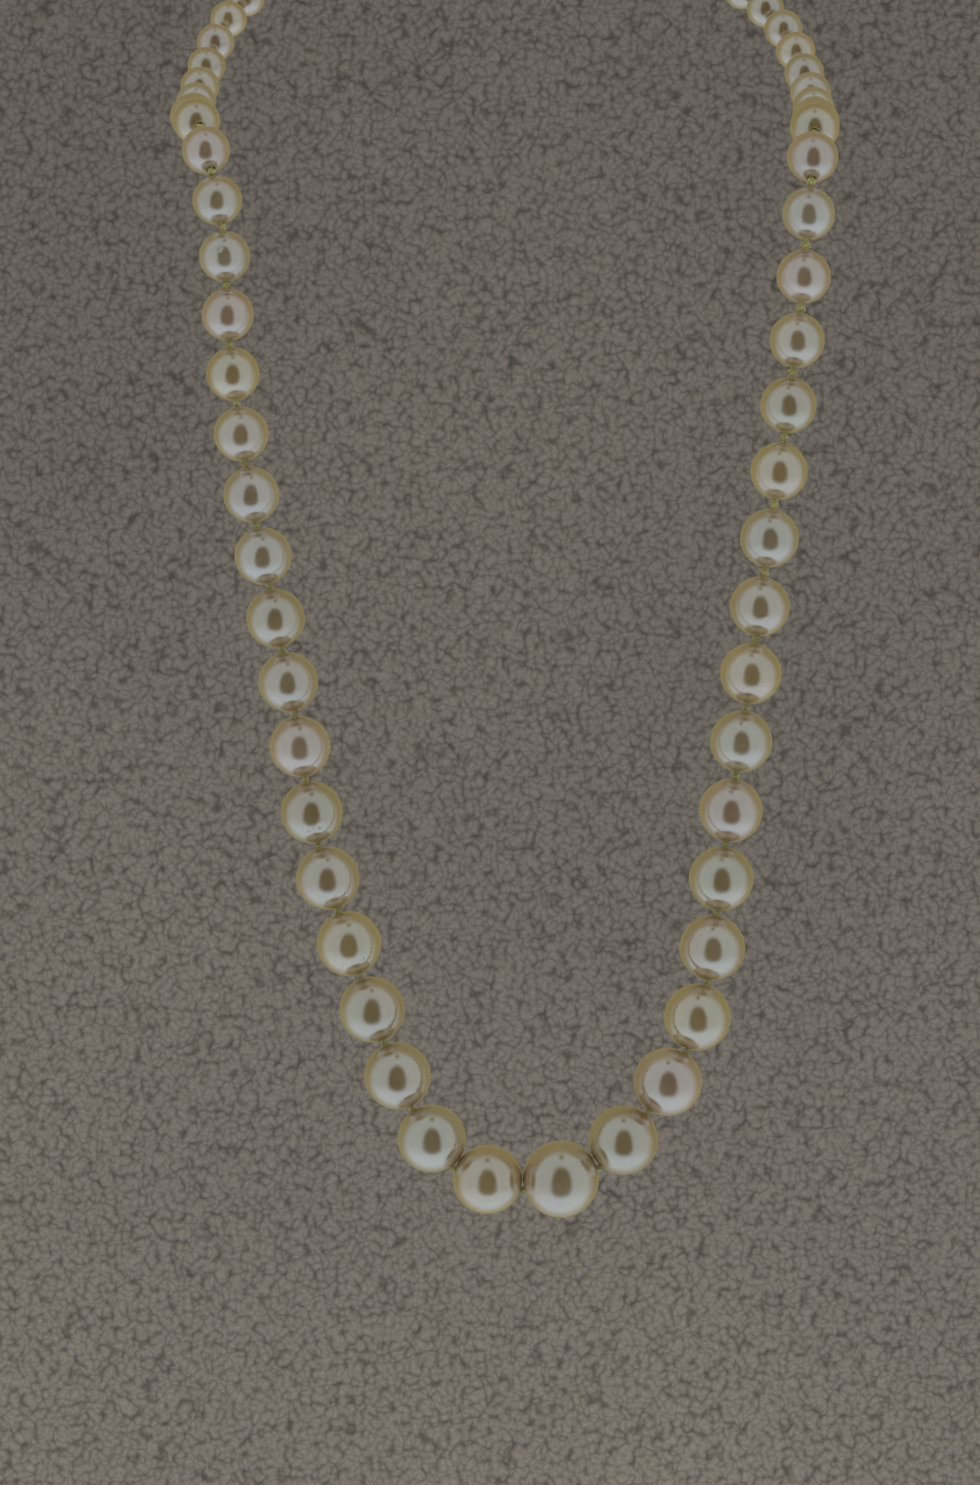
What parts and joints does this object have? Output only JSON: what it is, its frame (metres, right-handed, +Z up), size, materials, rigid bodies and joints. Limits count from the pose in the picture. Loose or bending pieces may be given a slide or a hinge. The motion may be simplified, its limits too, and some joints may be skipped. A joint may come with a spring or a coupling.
{
  "type": "graduated pearl necklace",
  "caption": "Graduated cream pearl necklace, hand knotted on yellowed silk, closed at the nape by a gold oval box clasp set with a pearl.",
  "frame": {"origin": "midway between the two places where the strand lies over the shoulders", "axes": "+Z up, +X to the right seen from the front, -Y to the front, +Y to the nape and the clasp"},
  "size_m": [0.0698, 0.083, 0.1382],
  "materials": {
    "pearl_cream": "high lustre nacre",
    "pearl_white": "high lustre nacre",
    "silk_yellow": "twisted silk",
    "gold": "polished gold"
  },
  "bodies": {
    "shoulders": {"pearl_left_18": "pearl_cream", "pearl_left_19": "pearl_cream", "pearl_left_20": "pearl_cream", "pearl_right_16": "pearl_cream", "pearl_right_17": "pearl_cream", "silk_shoulders": "silk_yellow"},
    "drape_top": {"pearl_left_14": "pearl_cream", "pearl_left_15": "pearl_cream", "pearl_left_16": "pearl_cream", "pearl_left_17": "pearl_cream", "pearl_right_12": "pearl_cream", "pearl_right_13": "pearl_cream", "pearl_right_14": "pearl_cream", "pearl_right_15": "pearl_cream", "silk_drape_top": "silk_yellow"},
    "drape_upper": {"pearl_left_09": "pearl_cream", "pearl_left_10": "pearl_cream", "pearl_left_11": "pearl_cream", "pearl_left_12": "pearl_cream", "pearl_left_13": "pearl_cream", "pearl_right_08": "pearl_cream", "pearl_right_09": "pearl_cream", "pearl_right_10": "pearl_cream", "pearl_right_11": "pearl_cream", "silk_drape_upper": "silk_yellow"},
    "drape_lower": {"pearl_left_05": "pearl_cream", "pearl_left_06": "pearl_cream", "pearl_left_07": "pearl_cream", "pearl_left_08": "pearl_cream", "pearl_right_04": "pearl_cream", "pearl_right_05": "pearl_cream", "pearl_right_06": "pearl_cream", "pearl_right_07": "pearl_cream", "silk_drape_lower": "silk_yellow"},
    "drape_centre": {"pearl_centre": "pearl_cream", "pearl_left_01": "pearl_cream", "pearl_left_02": "pearl_cream", "pearl_left_03": "pearl_cream", "pearl_left_04": "pearl_cream", "pearl_right_01": "pearl_cream", "pearl_right_02": "pearl_cream", "pearl_right_03": "pearl_cream", "silk_drape_centre": "silk_yellow"},
    "left_back": {"pearls_left_back": "pearl_cream", "silk_left_back": "silk_yellow"},
    "left_nape": {"pearls_left_nape": "pearl_cream", "silk_left_nape": "silk_yellow", "gimp_left": "gold", "clasp_tongue": "gold"},
    "leaf": {"clasp_leaf": "gold"},
    "right_back": {"pearls_right_back": "pearl_cream", "silk_right_back": "silk_yellow"},
    "right_nape": {"pearls_right_nape": "pearl_cream", "silk_right_nape": "silk_yellow", "gimp_right": "gold", "clasp_box": "gold", "clasp_cover": "gold", "clasp_cup": "gold", "clasp_set_pearl": "pearl_white"}
  },
  "joints": [
    {"name": "swing_top", "type": "hinge", "parent": "shoulders", "child": "drape_top", "pos_m": [0.00039, 0.00046, -0.00559], "axis": [0.9998, -0.0063, -0.0177], "range_deg": [-35, 20]},
    {"name": "swing_upper", "type": "hinge", "parent": "drape_top", "child": "drape_upper", "pos_m": [0.00028, 0, -0.02946], "axis": [0.9981, 0.0001, -0.0624], "range_deg": [-35, 20]},
    {"name": "swing_lower", "type": "hinge", "parent": "drape_upper", "child": "drape_lower", "pos_m": [0.00128, 0, -0.05787], "axis": [0.9999, 0, 0.0149], "range_deg": [-35, 20]},
    {"name": "swing_centre", "type": "hinge", "parent": "drape_lower", "child": "drape_centre", "pos_m": [0.0026, 0, -0.08424], "axis": [0.9998, 0, -0.0179], "range_deg": [-35, 20]},
    {"name": "open_left", "type": "hinge", "parent": "shoulders", "child": "left_back", "pos_m": [-0.03151, 0.01339, 0.00176], "axis": [0, 0, 1], "range_deg": [0, 30]},
    {"name": "turn_left_nape", "type": "hinge", "parent": "left_back", "child": "left_nape", "pos_m": [-0.0294, 0.06306, 0.01925], "axis": [0, 0, 1], "range_deg": [-30, 0]},
    {"name": "open_right", "type": "hinge", "parent": "shoulders", "child": "right_back", "pos_m": [0.03063, 0.00793, 0.00081], "axis": [0, 0, 1], "range_deg": [-30, 0]},
    {"name": "turn_right_nape", "type": "hinge", "parent": "right_back", "child": "right_nape", "pos_m": [0.02735, 0.06583, 0.0206], "axis": [0, 0, 1], "range_deg": [0, 30]},
    {"name": "release_leaf", "type": "hinge", "parent": "left_nape", "child": "leaf", "pos_m": [-0.0009, 0.07512, 0.0275], "axis": [0, 0, -1], "range_deg": [0, 4.5], "stiffness_Nm_per_rad": 0.001, "springref_deg": 4.5}
  ],
  "couplings": [
    {"joint": "turn_left_nape", "follows": "open_left", "ratio": -1},
    {"joint": "turn_right_nape", "follows": "open_right", "ratio": -1}
  ]
}
